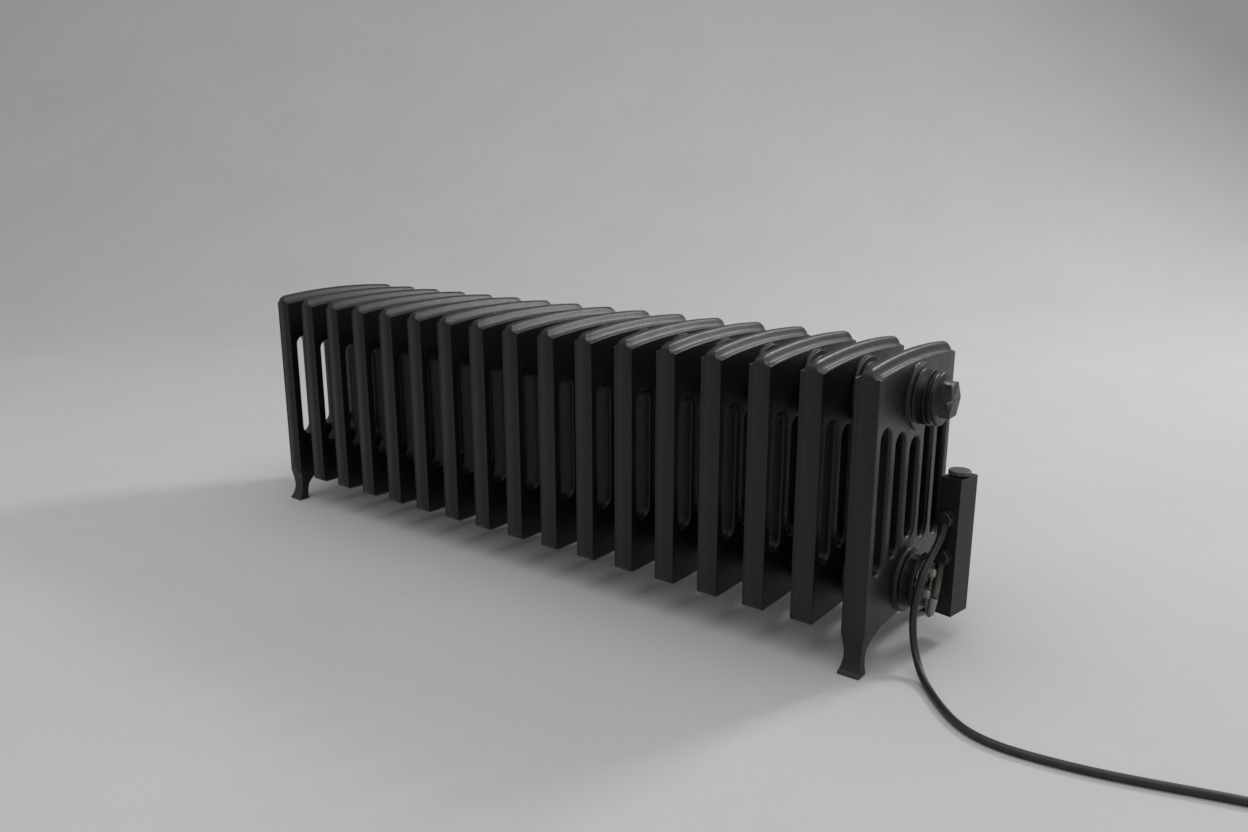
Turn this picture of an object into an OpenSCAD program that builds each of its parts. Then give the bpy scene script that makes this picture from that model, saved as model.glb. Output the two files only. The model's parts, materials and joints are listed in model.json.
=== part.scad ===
// Cast iron electric radiator: a block of six-column sections joined by nipples, with a heating
// element in the lower right hub, a slim control box beside it and a mains cord with a plug.
// X runs along the block towards the control box, Y from the front to the back, Z is up.
// The origin is on the floor, at the middle of the radiator's own box.

/* [Sections] */
// Distance between the centres of neighbouring sections
pitch = 60; // [59.6:0.2:61]
// Width of one section across its columns
section_w = 26.5; // [26:0.5:28]
// Depth of a section from front to back
depth = 214; // [212:1:218]
// Height of the crown's ridge at mid-depth
height = 333; // [332:0.5:336]
// Height of the flat underside between the feet
underside = 40; // [38:1:40]
// Thickness of one column from front to back
column_d = 15.3; // [14.5:0.1:16]
// Thickness of the iron round the oil space
iron_t = 4; // [3:0.5:4]

/* [Hubs] */
// Height of the top hubs' axis
top_hub_z = 284; // [283:0.5:285]
// Height of the bottom hubs' axis
bottom_hub_z = 77; // [76.5:0.5:78]
// Radius of a hub's neck
hub_r = 29.3; // [28:0.1:30]
// Radius of the threads that join hubs, bushes and nipples
thread_r = 20; // [19:0.1:20.5]

/* [Control box] */
// Width of the box
box_w = 24.3; // [23:0.1:24.5]
// Depth of the box
box_d = 34.8; // [32:0.1:36]
// Height of the box
box_h = 158.5; // [150:0.5:162]
// Angle that the box is turned round the upright axis
box_turn = 10; // [6:1:12]
// Radius of the control knob
knob_r = 12; // [10:0.5:12]

/* [Cord] */
// Diameter of the mains cord
cord_d = 8; // [7.6:0.1:8]

/* [Hidden] */
$fn = 48;
SECTIONS = 17;
EPS = 0.01;
half_w = section_w / 2;
half_d = depth / 2;

// Crown: a ridge that runs from the front to the back on an arch
arris_drop = 11.5;
arris_r = 957;
ridge_r = arris_r + arris_drop;
crown_corner_r = 12;
foot_corner_r = 12;
arc_fn = 720;

// Columns and the slots between them, from the front to the back
COLUMNS = 6;
column_pitch = (depth - column_d) / (COLUMNS - 1);
slot_r = (column_pitch - column_d) / 2;
slot_edge_r = 3.3;
slot_edge_d = 4.5;
slot_face_r = slot_r + slot_edge_r;
SLOT_TOPS = [266.5, 254, 241.5, 254, 266.5];
SLOT_BOTTOMS = [103, 111, 122, 111, 103];

// Oil space
oil_w = section_w - 2 * iron_t;
column_oil_d = column_d - 2 * 3.75;
bore_r = 16;
thread_start = 14;

// Hubs and what lies between their faces
hub_face = pitch / 2 - 0.4;
gasket_t = 0.8;
thread_gap = 0.05;

// Fittings on the end hubs, measured from the section's centre
bush_flange_t = 3;
bush_neck_t = 2.8;
bush_bore_r = 13;
plug_gasket_t = 0.6;
plug_flange_t = 3.8;
plug_hex_t = 10.2;
plug_hex_af = 36;
bush_face = hub_face + gasket_t + bush_flange_t + bush_neck_t;
plug_end = bush_face + plug_gasket_t + plug_flange_t + plug_hex_t;

// Heating element, measured from the last section's centre
element_flange_start = hub_face + 0.6;
element_flange_t = 1;
bracket_t = 1.5;
bracket_start = element_flange_start + element_flange_t;
head_start = bracket_start + bracket_t;
head_ring_t = 3.3;
head_hex_t = 3.6;
head_face = head_start + head_ring_t + head_hex_t;
head_r = 29.5;
rod_r = 4;
rod_spacing = 15;
rod_length = 860;
pocket_r = 3.6;
terminal_circle_r = 14;

// Control box, placed by its front right upright edge, from the last section's centre
box_edge = [57, 27.5];
box_bottom_z = 32.5;
box_wall = 1.6;
cap_t = 3;
box_top_z = box_bottom_z + box_h;
outlet_x = -13.6;
UPPER_OUTLET_Z = 145;
LOWER_OUTLET_Z = 101;
outlet_r = 9.3;
outlet_base_t = 2;
outlet_depth = 9;
knob_t = 4.6;
knob_gap = 0.5;
spindle_r = 3;

// The sections are placed so that the origin is the middle of the whole radiator
box_right = box_edge[0] + box_d * sin(box_turn);
block_length = (SECTIONS - 1) * pitch;
first_x = -block_length / 2 - (box_right - plug_end) / 2;
last_x = first_x + block_length;

// The cord's centre line, from the outlet down to the floor and along it to the coil. Each
// point is [x, y, z] from the last section's centre on the floor.
CORD_ROUTE = [
    [42.8, 24, 136.1], [42.6, 20.3, 129.6], [42.2, 15.6, 123.9], [41.8, 9.8, 118.9],
    [41.5, 2.6, 114.6], [41.3, -5, 110.4], [41.3, -12.8, 105.8], [41.2, -20, 100.3],
    [41, -26.4, 93.7], [40.7, -31.6, 86], [40.3, -35.6, 77.6], [40.1, -38.7, 68.8],
    [40.2, -41.1, 59.8], [40.9, -43.3, 50.6], [42.3, -45.5, 41.6], [44.6, -48.4, 33],
    [48, -52.4, 25], [52.6, -57.9, 17.8], [58.4, -65, 11.8], [65.4, -73.6, 7.4],
    [73.4, -83.3, 4.9], [82.5, -94, 4], [97, -111, 4], [115, -129, 4], [132.5, -141.5, 4],
    [150, -148.5, 4], [169, -151.4, 4], [190, -151, 4], [215, -148, 4], [245, -142.4, 4],
    [280, -133.3, 4], [315, -122.6, 4], [350, -112, 4], [382, -103.5, 4], [414, -95, 4]];

// Coil of the spare length: a flat spiral on the floor that the cord winds inwards. A turn is
// a cord's diameter inside the one before, and the last one climbs over the others.
coil_centre = [431, -33];
coil_start_r = 60;
coil_start_angle = -75;
coil_turned = 1065;
coil_inner_r = coil_start_r - cord_d * coil_turned / 360 - cord_d / 2;
coil_outer_r = coil_start_r + cord_d / 2;
coil_tie_angle = 165;

// The cord's centre line from the coil's inner turn over the others and on to the plug
TAIL_ROUTE = [
    [431, -69.3, 4], [440.3, -67.8, 4.7], [448.9, -64, 5.9], [456.4, -58.4, 7.5],
    [462.6, -51, 9.2], [467.2, -42.5, 10.8], [470.1, -33.2, 12], [471.4, -23.5, 12.6],
    [471.4, -13.7, 12.6], [470.4, -4, 12.6], [468.6, 5.6, 12.7], [466.3, 15.1, 13.2],
    [463.7, 24.6, 14.5], [461.1, 34, 16.2], [458.5, 43.4, 17.8], [455.9, 52.8, 18.8],
    [453.3, 62.2, 19]];
PLUG_START = [453.3, 62.2, 19];
plug_heading = 105.5;
plug_roll = 35;
plug_r = 19;
plug_relief_l = 26;
plug_body_l = 40;
plug_pin_r = 2.4;
plug_pin_root_r = 1.9;
plug_pin_l = 19;
plug_pin_spacing = 19;

// The element's own lead, from the lower outlet to its boot, and the wires to the terminals
LEAD_ROUTE = [[43.1, 24, 92.1], [43.8, 19.8, 86.6], [45, 14.2, 81.8],
    [46.3, 7.8, 76.8], [47.6, 1.2, 72], [48.7, -4.6, 68.2], [49.4, -8.6, 65.4]];
BOOT_ROUTE = [[49.5, -8.6, 65.8], [49.3, -10, 60.5], [48.7, -11.1, 54.3], [48, -11.8, 48]];
WIRE_ROUTES = [
    [[48, -11.8, 49], [47.4, -12.3, 46.4], [45.4, -12.8, 46.4], [43.6, -12.8, 51],
        [43, -12.4, 58], [43, -12.1, 65]],
    [[48, -11.6, 49], [47, -9.8, 46.6], [44.6, -5, 48.2], [43, 2, 53], [42.8, 8.4, 58.6],
        [43, 11.8, 66]],
    [[47.9, -11.4, 49], [46.8, -10.2, 47.4], [44.4, -8, 50.4], [42.5, -6, 60], [42.1, -4, 71],
        [42.3, -1.4, 80], [43, 0, 87.4]]];
lead_r = 4.1;
wire_r = 1.2;

IRON = [0.09, 0.09, 0.095];
PAINT = [0.11, 0.11, 0.115];
BRASS = [0.72, 0.6, 0.36];
STEEL = [0.68, 0.69, 0.7];
GASKET = [0.2, 0.17, 0.15];
PORCELAIN = [0.86, 0.84, 0.78];
BLACK = [0.06, 0.06, 0.065];

function section_name(k) = str("section_", k < 10 ? "0" : "", k);
function section_x(k) = first_x + (k - 1) * pitch;

// One point of a smooth curve that runs through all of p
function curve_point(p, i, t) =
    let (a = p[max(i - 1, 0)], b = p[i], c = p[i + 1], d = p[min(i + 2, len(p) - 1)])
    0.5 * (2 * b + (c - a) * t + (2 * a - 5 * b + 4 * c - d) * t * t
        + (3 * b - a - 3 * c + d) * t * t * t);
function curve(p, steps) = concat(
    [for (i = [0:len(p) - 2]) for (k = [0:steps - 1]) curve_point(p, i, k / steps)],
    [p[len(p) - 1]]);

function unit(v) = v / norm(v);
function reversed(p) = [for (i = [len(p) - 1:-1:0]) p[i]];

// Turns its children's Z axis to X
module along_x() { rotate([0, 90, 0]) children(); }

// Extrudes an outline drawn in Y and Z along X, centred on X = 0
module across_x(w) {
    rotate([90, 0, 90]) translate([0, 0, -w / 2]) linear_extrude(w) children();
}

module at_section(k) { translate([section_x(k), 0, 0]) children(); }
module at_last() { translate([last_x, 0, 0]) children(); }

// Places children at each of the two hub heights of the block's right end, or its left end
module at_right_hub(z) { translate([last_x, 0, z]) children(); }
module at_left_hub(z) { translate([first_x, 0, z]) mirror([1, 0, 0]) children(); }

// Round body about the X axis, from a half outline of [x, radius] points
module turned(outline) {
    along_x() rotate_extrude() polygon([for (p = outline) [p[1], p[0]]]);
}

module tube(start, end, outer, inner) {
    turned([[start, inner], [end, inner], [end, outer], [start, outer]]);
}

// Hexagon along X with its flats at the top and the bottom and its outer edges broken
module hexagon(start, end, across_flats, bevel) {
    corner_r = across_flats / 2 / cos(30);
    intersection() {
        translate([start, 0, 0]) along_x() rotate([0, 0, 90])
            cylinder(h = end - start, r = corner_r, $fn = 6);
        turned([[start, 0], [end, 0], [end, corner_r - bevel], [end - bevel / 2, corner_r + 1],
            [start, corner_r + 1]]);
    }
}

// ---- Sections ----

// Outline of a section from the side, without feet
module side_outline() {
    ridge_centre = height - ridge_r;
    corner_y = half_d - crown_corner_r;
    corner_z = ridge_centre + sqrt(ridge_r * ridge_r - corner_y * corner_y) - crown_corner_r;
    low_y = half_d - foot_corner_r;
    low_z = underside + foot_corner_r;
    intersection() {
        translate([0, ridge_centre]) circle(r = ridge_r, $fn = arc_fn);
        union() {
            translate([-half_d, low_z]) square([depth, corner_z - low_z]);
            translate([-low_y, underside]) square([2 * low_y, height]);
            for (side = [-1, 1]) {
                translate([side * corner_y, corner_z]) circle(r = crown_corner_r);
                translate([side * low_y, low_z]) circle(r = foot_corner_r);
            }
        }
    }
}

// Half of the moulding that runs down the front and the back: [x, distance behind the face]
FACE_MOULDING = [[half_w, 3.4], [half_w - 0.9, 2.3], [half_w - 2.2, 2.8], [half_w - 3.2, 2],
    [half_w - 5, 2.5], [half_w - 6.8, 1], [half_w - 8, 0]];

// Plan of a section, with the moulding on its front and its back
module plan_outline() {
    right_back = [for (p = FACE_MOULDING) [p[0], half_d - p[1]]];
    left_back = [for (p = reversed(right_back)) [-p[0], p[1]]];
    back = concat(right_back, left_back);
    polygon(concat(back, [for (p = back) [-p[0], -p[1]]]));
}

// Half of the crown's profile, with two beads beside the ridge: [x, height above the side edge]
CROWN = [[half_w, 0], [half_w - 0.2, 0.9], [half_w - 1, 1.4], [half_w - 1.6, 0.8],
    [half_w - 2.2, 1], [half_w - 2.6, 1.9], [half_w - 3.4, 2.2], [half_w - 4, 1.6],
    [half_w - 5.4, 2.6], [half_w - 7.4, 5.7], [half_w - 8.8, 8.8], [half_w - 10.4, 10.8],
    [half_w - 12, 11.4]];

// Everything under the crown, as a ring about an axis far below the floor
module crown_ring() {
    ring_inner_r = arris_r - height;
    right = [for (p = CROWN) [arris_r + p[1], p[0]]];
    left = [for (p = reversed(right)) [p[0], -p[1]]];
    outline = concat([[ring_inner_r, half_w]], right, left, [[ring_inner_r, -half_w]]);
    translate([0, 0, height - ridge_r]) along_x() rotate_extrude($fn = arc_fn) polygon(outline);
}

// A slot between two columns. Its edges are rounded over towards both side faces.
module slot(top, bottom) {
    right = [for (a = [90:-30:0]) [half_w - slot_edge_d * (1 - cos(a)),
        slot_face_r - slot_edge_r * sin(a)]];
    right_end = concat(right, [[half_w + 1, slot_face_r], [half_w + 1, 0]]);
    end_outline = concat([for (p = reversed(right_end)) [-p[0], p[1]]], right_end);
    plan = concat(end_outline, [for (p = reversed(end_outline)) [p[0], -p[1]]]);
    low = bottom + slot_face_r;
    high = top - slot_face_r;
    translate([0, 0, low]) linear_extrude(high - low) polygon(plan);
    for (z = [low, high]) translate([0, 0, z]) turned(end_outline);
}

// A hub: a broad ring at the section's side, a neck and a rim at the joint face
module hub(z) {
    right = [[8, 0], [8, 36.5], [16.6, 36.5], [17.6, 36.1], [18, 35.2], [18, 31], [18.6, 29.8],
        [19.6, hub_r], [27, hub_r], [27.4, hub_r + 0.8], [hub_face - 0.5, hub_r + 0.8],
        [hub_face, hub_r + 0.2], [hub_face, 0]];
    translate([0, 0, z]) {
        turned(right);
        mirror([1, 0, 0]) turned(right);
    }
}

// Oil space: one passage in each column, a header at each end and the hubs' threads
module oil_space() {
    header_d = depth - 2 * (iron_t + 3.5);
    low_header = [underside + 12, bottom_hub_z + 17];
    high_header = [top_hub_z - 14, top_hub_z + 20];
    for (i = [0:COLUMNS - 1])
        translate([-oil_w / 2, (i - (COLUMNS - 1) / 2) * column_pitch - column_oil_d / 2,
            low_header[0] + 2])
            cube([oil_w, column_oil_d, high_header[1] - low_header[0] - 4]);
    for (span = [low_header, high_header])
        translate([-oil_w / 2, -header_d / 2, span[0]]) cube([oil_w, header_d, span[1] - span[0]]);
    for (z = [bottom_hub_z, top_hub_z]) translate([0, 0, z]) {
        tube(-hub_face - EPS, hub_face + EPS, bore_r, 0);
        tube(-hub_face - EPS, -thread_start, thread_r, 0);
        tube(thread_start, hub_face + EPS, thread_r, 0);
    }
}

// Outline of a section from the front, rounded at the bottom
module front_outline() {
    r = 5;
    translate([-half_w, underside + r]) square([section_w, height]);
    translate([-half_w + r, underside]) square([section_w - 2 * r, height]);
    for (side = [-1, 1]) translate([side * (half_w - r), underside + r]) circle(r = r);
}

module section_body() {
    difference() {
        union() {
            intersection() {
                across_x(section_w) side_outline();
                translate([0, 0, underside - 1]) linear_extrude(height) plan_outline();
                translate([0, half_d, 0]) rotate([90, 0, 0]) linear_extrude(depth) front_outline();
                crown_ring();
            }
            hub(bottom_hub_z);
            hub(top_hub_z);
        }
        for (i = [0:COLUMNS - 2])
            translate([0, (i - (COLUMNS - 2) / 2) * column_pitch, 0])
                slot(SLOT_TOPS[i], SLOT_BOTTOMS[i]);
        oil_space();
    }
}

// A foot seen from the side: [distance behind the front face, height]. The outer line runs
// down to the toe, the inner line climbs into the arch between the feet.
FOOT_OUTER = [[0, 74], [0.1, 64], [1.2, 52], [3.6, 40], [5.4, 28], [4.6, 16], [1, 6.5],
    [-2.4, 2.6], [-3.3, 1.4]];
FOOT_INNER = [[13.2, 1.6], [15, 12], [18.5, 24], [27, 34], [44, 40.6], [60, 46]];
// Half of the foot seen from the front: [half width, height]
FOOT_WIDTH = [[half_w, 74], [half_w, 58], [half_w - 0.5, 48], [11.6, 37], [10, 27], [9.7, 19],
    [10.7, 9], [12.3, 3], [12.5, 1.4]];
foot_moulding_z = 36;

module foot() {
    outer = curve(FOOT_OUTER, 4);
    inner = curve(FOOT_INNER, 4);
    side = concat(outer, [[-2.6, 0.3], [-1.6, 0], [12.4, 0]], inner, [[60, 74]]);
    right = curve(FOOT_WIDTH, 4);
    front = concat(right, [[11.8, 0.3], [11, 0], [-11, 0], [-11.8, 0.3]],
        [for (p = reversed(right)) [-p[0], p[1]]]);
    intersection() {
        across_x(section_w) polygon([for (p = side) [p[0] - half_d, p[1]]]);
        translate([0, half_d, 0]) rotate([90, 0, 0]) linear_extrude(depth + 10) polygon(front);
        union() {
            translate([0, 0, foot_moulding_z]) linear_extrude(50) plan_outline();
            translate([-half_w, -half_d - 10, 0]) cube([section_w, 80, foot_moulding_z]);
        }
    }
}

module section(k) {
    color(IRON) at_section(k) {
        if (k == 1 || k == SECTIONS) {
            difference() {
                union() {
                    section_body();
                    foot();
                    mirror([0, 1, 0]) foot();
                }
                oil_space();
            }
        } else {
            section_body();
        }
    }
}

// ---- Joints between the sections ----

module nipples(z) {
    color(STEEL) for (k = [1:SECTIONS - 1]) at_section(k)
        translate([pitch / 2, 0, z]) tube(-15, 15, thread_r - thread_gap, bore_r - 1);
}

module gaskets(z) {
    color(GASKET) for (k = [1:SECTIONS - 1]) at_section(k)
        translate([0, 0, z]) tube(hub_face, hub_face + gasket_t, hub_r - 0.5, thread_r + 0.3);
}

// ---- Fittings on the end hubs ----

module end_gaskets() {
    color(GASKET) {
        at_right_hub(top_hub_z) fitting_gaskets();
        at_left_hub(top_hub_z) fitting_gaskets();
        at_left_hub(bottom_hub_z) fitting_gaskets();
        at_right_hub(bottom_hub_z)
            tube(hub_face, element_flange_start, hub_r - 0.5, thread_r + 0.3);
    }
}

module fitting_gaskets() {
    tube(hub_face, hub_face + gasket_t, hub_r - 1.3, thread_r + 0.3);
    tube(bush_face, bush_face + plug_gasket_t, 24.5, bush_bore_r + 0.3);
}

module bush() {
    flange = hub_face + gasket_t;
    turned([[thread_start + 1, bush_bore_r], [bush_face, bush_bore_r], [bush_face, 25.2],
        [bush_face - 0.3, 25.5], [flange + bush_flange_t, 25.5], [flange + bush_flange_t, 27.5],
        [flange + bush_flange_t - 0.7, 28.2], [flange, 28.2], [flange, thread_r - thread_gap],
        [thread_start + 1, thread_r - thread_gap]]);
}

module blanking_plug() {
    flange = bush_face + plug_gasket_t;
    hex_start = flange + plug_flange_t;
    difference() {
        union() {
            turned([[20, 0], [hex_start, 0], [hex_start, 26.8], [hex_start - 1.2, 28.3],
                [hex_start - 2.2, 28.7], [flange + 0.5, 28.7], [flange, 28.2],
                [flange, bush_bore_r - thread_gap], [20, bush_bore_r - thread_gap]]);
            hexagon(hex_start - EPS, plug_end, plug_hex_af, 0.8);
        }
        translate([plug_end - 0.8, 0, 0]) along_x() cylinder(h = 1, r = 1.2);
    }
}

module top_right_bush() { color(PAINT) at_right_hub(top_hub_z) bush(); }
module top_left_bush() { color(PAINT) at_left_hub(top_hub_z) bush(); }
module bottom_left_bush() { color(PAINT) at_left_hub(bottom_hub_z) bush(); }
module top_right_plug() { color(PAINT) at_right_hub(top_hub_z) blanking_plug(); }
module top_left_plug() { color(PAINT) at_left_hub(top_hub_z) blanking_plug(); }
module bottom_left_plug() { color(PAINT) at_left_hub(bottom_hub_z) blanking_plug(); }

// ---- Heating element ----

element_bore_r = 17;

module element_bush() {
    color(PAINT) at_right_hub(bottom_hub_z)
        turned([[thread_start + 1, element_bore_r], [bracket_start, element_bore_r],
            [bracket_start, 32.9], [bracket_start - 0.6, 33.5], [element_flange_start, 33.5],
            [element_flange_start, thread_r - thread_gap],
            [thread_start + 1, thread_r - thread_gap]]);
}

module element_head() {
    hex_start = head_start + head_ring_t;
    color(BRASS) at_right_hub(bottom_hub_z) difference() {
        union() {
            turned([[16, 0], [hex_start, 0], [hex_start, head_r - 0.9],
                [hex_start - 0.9, head_r], [head_start, head_r],
                [head_start, element_bore_r - thread_gap], [16, element_bore_r - thread_gap]]);
            hexagon(hex_start - EPS, head_face, 44, 1.2);
        }
        for (pos = ROD_ENDS) translate([15, pos[0], pos[1]]) along_x() cylinder(h = 8, r = rod_r);
        translate([15, 0, 0]) along_x() cylinder(h = 8, r = pocket_r);
        for (a = TERMINAL_ANGLES)
            translate([head_face - 6, terminal_circle_r * cos(a), terminal_circle_r * sin(a)])
                along_x() cylinder(h = 7, r = 2);
    }
}

// Each hairpin rod goes out and comes back: [y, z] of its two runs from the hub's axis
ROD_ENDS = [[-rod_spacing / 2, 7.5], [rod_spacing / 2, 7.5],
    [-rod_spacing / 2, -7.5], [rod_spacing / 2, -7.5]];
TERMINAL_ANGLES = [90, 210, 330];

module hairpin() {
    run = rod_length - rod_spacing / 2;
    for (side = [-1, 1]) translate([-run + 22, side * rod_spacing / 2, 0])
        along_x() cylinder(h = run, r = rod_r);
    translate([-run + 22, 0, 0]) rotate([0, 0, 90])
        rotate_extrude(angle = 180) translate([rod_spacing / 2, 0]) circle(r = rod_r);
}

module element_rods() {
    color(STEEL) at_right_hub(bottom_hub_z)
        for (z = [-7.5, 7.5]) translate([0, 0, z]) hairpin();
}

module thermostat_pocket() {
    color(STEEL) at_right_hub(bottom_hub_z) difference() {
        translate([-258, 0, 0]) along_x() cylinder(h = 280, r = pocket_r);
        translate([-256, 0, 0]) along_x() cylinder(h = 279, r = 2.6);
    }
}

module thermostat_bulb() {
    color(BRASS) at_right_hub(bottom_hub_z)
        translate([-256, 0, 0]) along_x() cylinder(h = 90, r = 2.4);
}

module at_terminals() {
    at_right_hub(bottom_hub_z) for (a = TERMINAL_ANGLES)
        translate([head_face, terminal_circle_r * cos(a), terminal_circle_r * sin(a)]) children();
}

module terminal_insulators() {
    color(PORCELAIN) at_terminals() turned([[0, 2], [2, 2], [2, 3.8], [1.5, 4.4], [0, 4.6]]);
}

module terminal_studs() {
    color(STEEL) at_terminals() turned([[-6, 0], [5.2, 0], [5.2, 1.5], [4.7, 2], [-6, 2]]);
}

module terminal_nuts() {
    color(BRASS) at_terminals() difference() {
        hexagon(2, 4.4, 7, 0.4);
        translate([1, 0, 0]) along_x() cylinder(h = 5, r = 2);
    }
}

// ---- Control box ----

// Children are drawn with the box's front right edge as origin and its front along X
module at_box() {
    at_last() translate([box_edge[0], box_edge[1], 0]) rotate([0, 0, -box_turn]) children();
}

module box_bracket() {
    color(STEEL) {
        at_right_hub(bottom_hub_z) difference() {
            union() {
                tube(bracket_start, head_start, 30, element_bore_r + 0.3);
                translate([bracket_start, 20, -13]) cube([bracket_t, 10.8, 26]);
            }
            translate([bracket_start - 1, 0, 0]) along_x() cylinder(h = 4, r = element_bore_r + 0.3);
        }
        at_box() difference() {
            translate([-box_w - bracket_t, -2, bottom_hub_z - 13]) cube([bracket_t, 31, 26]);
            for (y = SCREW_YS) translate([-box_w - 2, y, bottom_hub_z])
                along_x() cylinder(h = 3, r = 2);
        }
    }
}

SCREW_YS = [10, 22];

module bracket_screws() {
    head = -box_w - bracket_t;
    color(STEEL) at_box() for (y = SCREW_YS) translate([0, y, bottom_hub_z])
        turned([[head - 2.2, 0], [head - 2.2, 2.4], [head - 1.4, 3.5], [head, 3.8], [head, 2],
            [head + 7, 2], [head + 7, 0]]);
}

module box_shell() {
    color(PAINT) at_box() difference() {
        translate([-box_w, 0, box_bottom_z + cap_t]) cube([box_w, box_d, box_h - 2 * cap_t]);
        translate([-box_w + box_wall, box_wall, box_bottom_z])
            cube([box_w - 2 * box_wall, box_d - 2 * box_wall, box_h]);
        for (z = [LOWER_OUTLET_Z, UPPER_OUTLET_Z]) translate([outlet_x, -1, z])
            rotate([-90, 0, 0]) cylinder(h = 4, r = 5);
        for (y = SCREW_YS) translate([-box_w - 1, y, bottom_hub_z]) along_x() cylinder(h = 4, r = 2);
    }
}

// A cap for the shell's end: a plate with a rim that fits inside the tube, drawn face down
module end_cap() {
    inset = box_wall + 0.05;
    translate([-box_w, 0, 0]) cube([box_w, box_d, cap_t]);
    difference() {
        translate([-box_w + inset, inset, cap_t - EPS])
            cube([box_w - 2 * inset, box_d - 2 * inset, 6]);
        translate([-box_w + inset + 1.2, inset + 1.2, cap_t])
            cube([box_w - 2 * inset - 2.4, box_d - 2 * inset - 2.4, 7]);
    }
}

module box_bottom() { color(PAINT) at_box() translate([0, 0, box_bottom_z]) end_cap(); }

module box_top() {
    color(PAINT) at_box() difference() {
        translate([0, 0, box_top_z]) mirror([0, 0, 1]) end_cap();
        translate([-box_w / 2, box_d / 2, box_top_z - 4]) cylinder(h = 5, r = spindle_r + 0.06);
    }
}

module at_knob() { at_box() translate([-box_w / 2, box_d / 2, box_top_z]) children(); }

// Thermostat behind the top cap, with a blind hole that the spindle turns in
module thermostat_body() {
    color(BLACK) at_knob() difference() {
        translate([-9, -13, -36]) cube([18, 26, 32.9]);
        translate([0, 0, -14]) cylinder(h = 12, r = spindle_r + 0.06);
    }
}

module knob_spindle() {
    color(STEEL) at_knob() translate([0, 0, -13.8]) cylinder(h = 17.6, r = spindle_r);
}

// Flat knob with shallow flutes round its edge and a collar under it
module knob() {
    FLUTES = 18;
    color(BLACK) at_knob() difference() {
        rotate_extrude() polygon([[0, knob_gap], [9.4, knob_gap], [9.4, 1.9], [knob_r - 0.4, 1.9],
            [knob_r, 2.3], [knob_r, 1.9 + knob_t - 0.9], [knob_r - 0.9, 1.9 + knob_t],
            [0, 1.9 + knob_t]]);
        for (i = [0:FLUTES - 1]) rotate([0, 0, i * 360 / FLUTES])
            translate([knob_r + 0.5, 0, 1.8]) cylinder(h = 10, r = 1, $fn = 24);
        translate([0, 0, -1]) cylinder(h = 4.8, r = spindle_r);
    }
}

module terminal_block() {
    color(PORCELAIN) at_box() difference() {
        translate([-box_w + 3, box_d - 14, 42]) cube([box_w - 6, 12.4, 30]);
        for (z = [48, 57, 66]) translate([-box_w / 2, box_d - 15, z])
            rotate([-90, 0, 0]) cylinder(h = 8, r = 2.4);
    }
}

// ---- Cable outlets on the front of the box ----

// Children are drawn about the outlet's own axis, which points out of the box's front as Z
module at_outlet(z) { at_box() translate([outlet_x, 0, z]) rotate([90, 0, 0]) children(); }

module outlet_bases() {
    color(BLACK) for (z = [LOWER_OUTLET_Z, UPPER_OUTLET_Z]) at_outlet(z)
        rotate_extrude() polygon([[4.95, 0], [9.5, 0], [9.5, outlet_base_t - 0.5],
            [9, outlet_base_t], [4.95, outlet_base_t]]);
}

// Round right-angle outlet: a cap with a threaded stem and a spigot that points down and out
spigot_lean = 24;

module outlet() {
    color(BLACK) difference() {
        union() {
            rotate_extrude() polygon([[0, outlet_base_t], [outlet_r, outlet_base_t],
                [outlet_r, outlet_depth - 1.6], [outlet_r - 0.6, outlet_depth - 0.5],
                [outlet_r - 1.7, outlet_depth], [0, outlet_depth]]);
            translate([0, 0, -4.6]) cylinder(h = 8, r = 4.9);
            intersection() {
                translate([0, 0, 2.5]) rotate([90 - spigot_lean, 0, 0])
                    cylinder(h = 10.4, r = 5.2);
                translate([-15, -25, outlet_base_t]) cube([30, 40, 20]);
            }
        }
        translate([0, 0, -5]) cylinder(h = 7.5, r = 3.2);
        translate([0, 0, 2.5]) rotate([90 - spigot_lean, 0, 0]) translate([0, 0, 2])
            cylinder(h = 9, r = cord_d / 2 + 0.4);
    }
}

module upper_outlet() { at_outlet(UPPER_OUTLET_Z) outlet(); }
module lower_outlet() { at_outlet(LOWER_OUTLET_Z) outlet(); }

module outlet_nuts() {
    color(STEEL) for (z = [LOWER_OUTLET_Z, UPPER_OUTLET_Z]) at_outlet(z) difference() {
        translate([0, 0, -box_wall - 2.6]) cylinder(h = 2.6, r = 7.2, $fn = 6);
        translate([0, 0, -6]) cylinder(h = 6, r = 4.9);
    }
}

// ---- Cords and leads ----

function tangent(p, i) = unit(p[min(i + 1, len(p) - 1)] - p[max(i - 1, 0)]);

// No cord here runs along this direction, so it can steer the rings of every tube
RING_GUIDE = [-0.5, 0.2, 0.84];

function ring(centre, along, r, sides) =
    let (u = unit(cross(RING_GUIDE, along)), v = cross(along, u))
    [for (i = [0:sides - 1]) centre + r * (cos(360 * i / sides) * u + sin(360 * i / sides) * v)];

// A closed tube along the points of a route, with a radius for each of them
module swept(route, radii, sides) {
    last = len(route) - 1;
    corners = [for (i = [0:last]) each ring(route[i], tangent(route, i), radii[i], sides)];
    walls = [for (i = [0:last - 1]) for (k = [0:sides - 1])
        let (a = i * sides + k, b = i * sides + (k + 1) % sides) [a, a + sides, b + sides, b]];
    caps = [[for (k = [0:sides - 1]) k], [for (k = [sides - 1:-1:0]) last * sides + k]];
    polyhedron(corners, concat(walls, caps), convexity = 10);
}

function even(route, r) = [for (p = route) r];

module element_lead() {
    color([0.3, 0.32, 0.29]) at_last() swept(LEAD_ROUTE, even(LEAD_ROUTE, lead_r), 12);
}

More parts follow.
